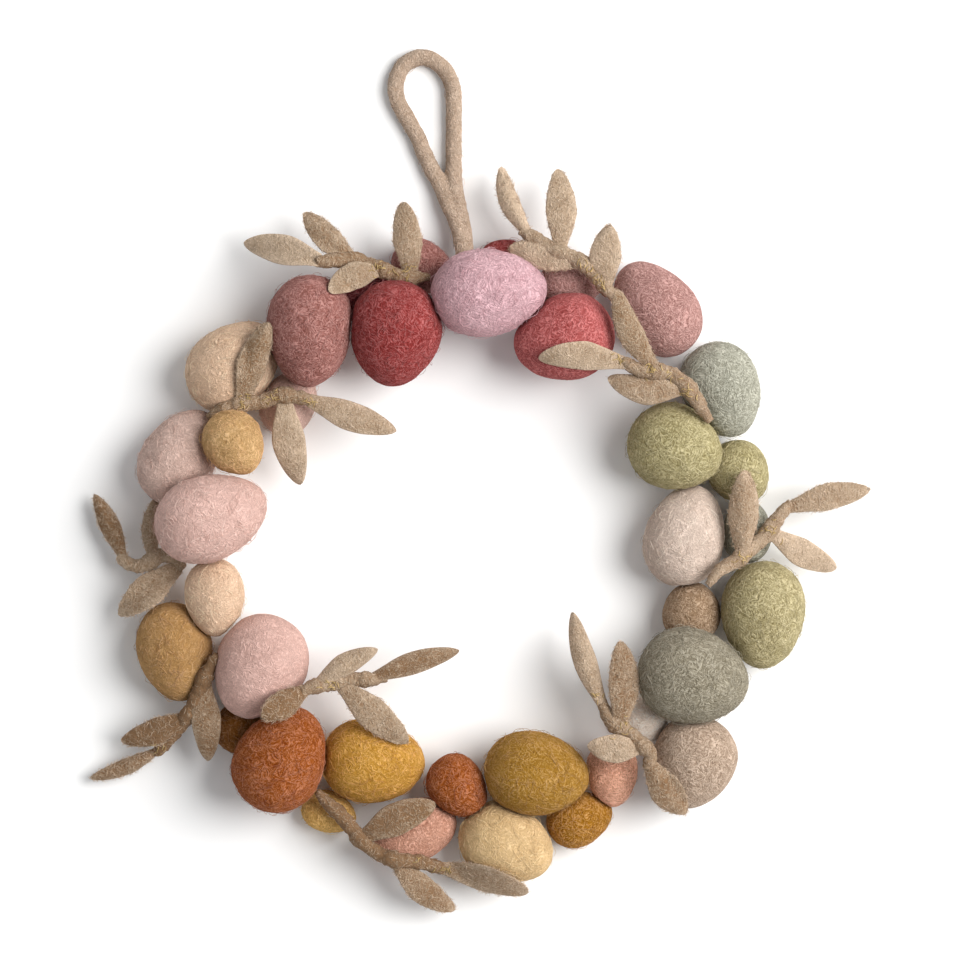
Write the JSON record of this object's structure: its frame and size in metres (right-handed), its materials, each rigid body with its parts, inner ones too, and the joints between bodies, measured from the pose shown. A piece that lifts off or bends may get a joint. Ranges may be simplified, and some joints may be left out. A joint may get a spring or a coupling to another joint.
{
  "type": "felt egg wreath",
  "caption": "Ring wreath of felted wool eggs in soft spring colours, with sprigs of felt leaves and a felt loop to hang it by.",
  "frame": {"origin": "middle of the whole outline, on the surface that the wreath lies on", "axes": "+Z out of the wreath's face, +Y from the ring's middle towards the hanging loop, +X to the right when it is seen face on"},
  "size_m": [0.3294, 0.3652, 0.0496],
  "materials": {
    "mauve": "matt wool felt with short fibres",
    "raspberry": "matt wool felt with short fibres",
    "maroon": "matt wool felt with short fibres",
    "orchid": "matt wool felt with short fibres",
    "coral": "matt wool felt with short fibres",
    "dusty_rose": "matt wool felt with short fibres",
    "sage": "matt wool felt with short fibres",
    "apricot": "matt wool felt with short fibres",
    "pale_pink": "matt wool felt with short fibres",
    "ochre": "matt wool felt with short fibres",
    "blush_pink": "matt wool felt with short fibres",
    "lilac_pink": "matt wool felt with short fibres",
    "camel": "matt wool felt with short fibres",
    "rose_pink": "matt wool felt with short fibres",
    "mustard": "matt wool felt with short fibres",
    "light_mustard": "matt wool felt with short fibres",
    "rust": "matt wool felt with short fibres",
    "golden": "matt wool felt with short fibres",
    "rose": "matt wool felt with short fibres",
    "cream": "matt wool felt with short fibres",
    "old_gold": "matt wool felt with short fibres",
    "amber": "matt wool felt with short fibres",
    "terra_rose": "matt wool felt with short fibres",
    "off_white": "matt wool felt with short fibres",
    "sage_grey": "matt wool felt with short fibres",
    "taupe": "matt wool felt with short fibres",
    "taupe_pink": "matt wool felt with short fibres",
    "moss": "matt wool felt with short fibres",
    "blush": "matt wool felt with short fibres",
    "olive": "matt wool felt with short fibres",
    "leaf_oat": "matt wool felt with short fibres",
    "loop_oat": "matt wool felt with short fibres"
  },
  "bodies": {
    "root": {"egg_mauve_back": "mauve", "egg_maroon_back": "maroon", "egg_raspberry_back": "raspberry", "egg_orchid_back": "dusty_rose", "egg_pale_back": "pale_pink", "egg_mustard_back": "mustard", "egg_mustard_low": "light_mustard", "egg_amber_low": "amber", "egg_sage_back": "sage", "egg_apricot_large": "apricot", "egg_lilac": "lilac_pink", "egg_camel": "camel", "egg_rose_low": "rose", "egg_cream": "cream", "egg_taupe_pink": "taupe_pink", "egg_off_white": "off_white", "egg_taupe_small": "taupe", "egg_olive": "olive", "egg_moss_small": "moss", "egg_blush": "blush", "egg_sage_large": "sage", "egg_dusty_rose": "dusty_rose", "egg_ochre_small": "ochre", "egg_apricot_small": "apricot", "egg_terra_small": "terra_rose", "egg_rust_small": "rust", "egg_mauve_large": "mauve", "egg_raspberry_large": "raspberry", "egg_coral_large": "coral", "egg_orchid_large": "orchid", "egg_pink_large": "blush_pink", "egg_pink_round": "rose_pink", "egg_rust_large": "rust", "egg_golden": "golden", "egg_old_gold": "old_gold", "egg_moss_large": "moss", "egg_sage_grey": "sage_grey", "sprig_top_left": "leaf_oat", "sprig_top_right": "leaf_oat", "sprig_right_shoulder": "leaf_oat", "sprig_upper_left": "leaf_oat", "sprig_left": "leaf_oat", "sprig_lower_left": "leaf_oat", "sprig_inner_left": "leaf_oat", "sprig_bottom": "leaf_oat", "sprig_lower_right": "leaf_oat", "sprig_right": "leaf_oat", "hanging_loop": "loop_oat"}
  },
  "joints": []
}
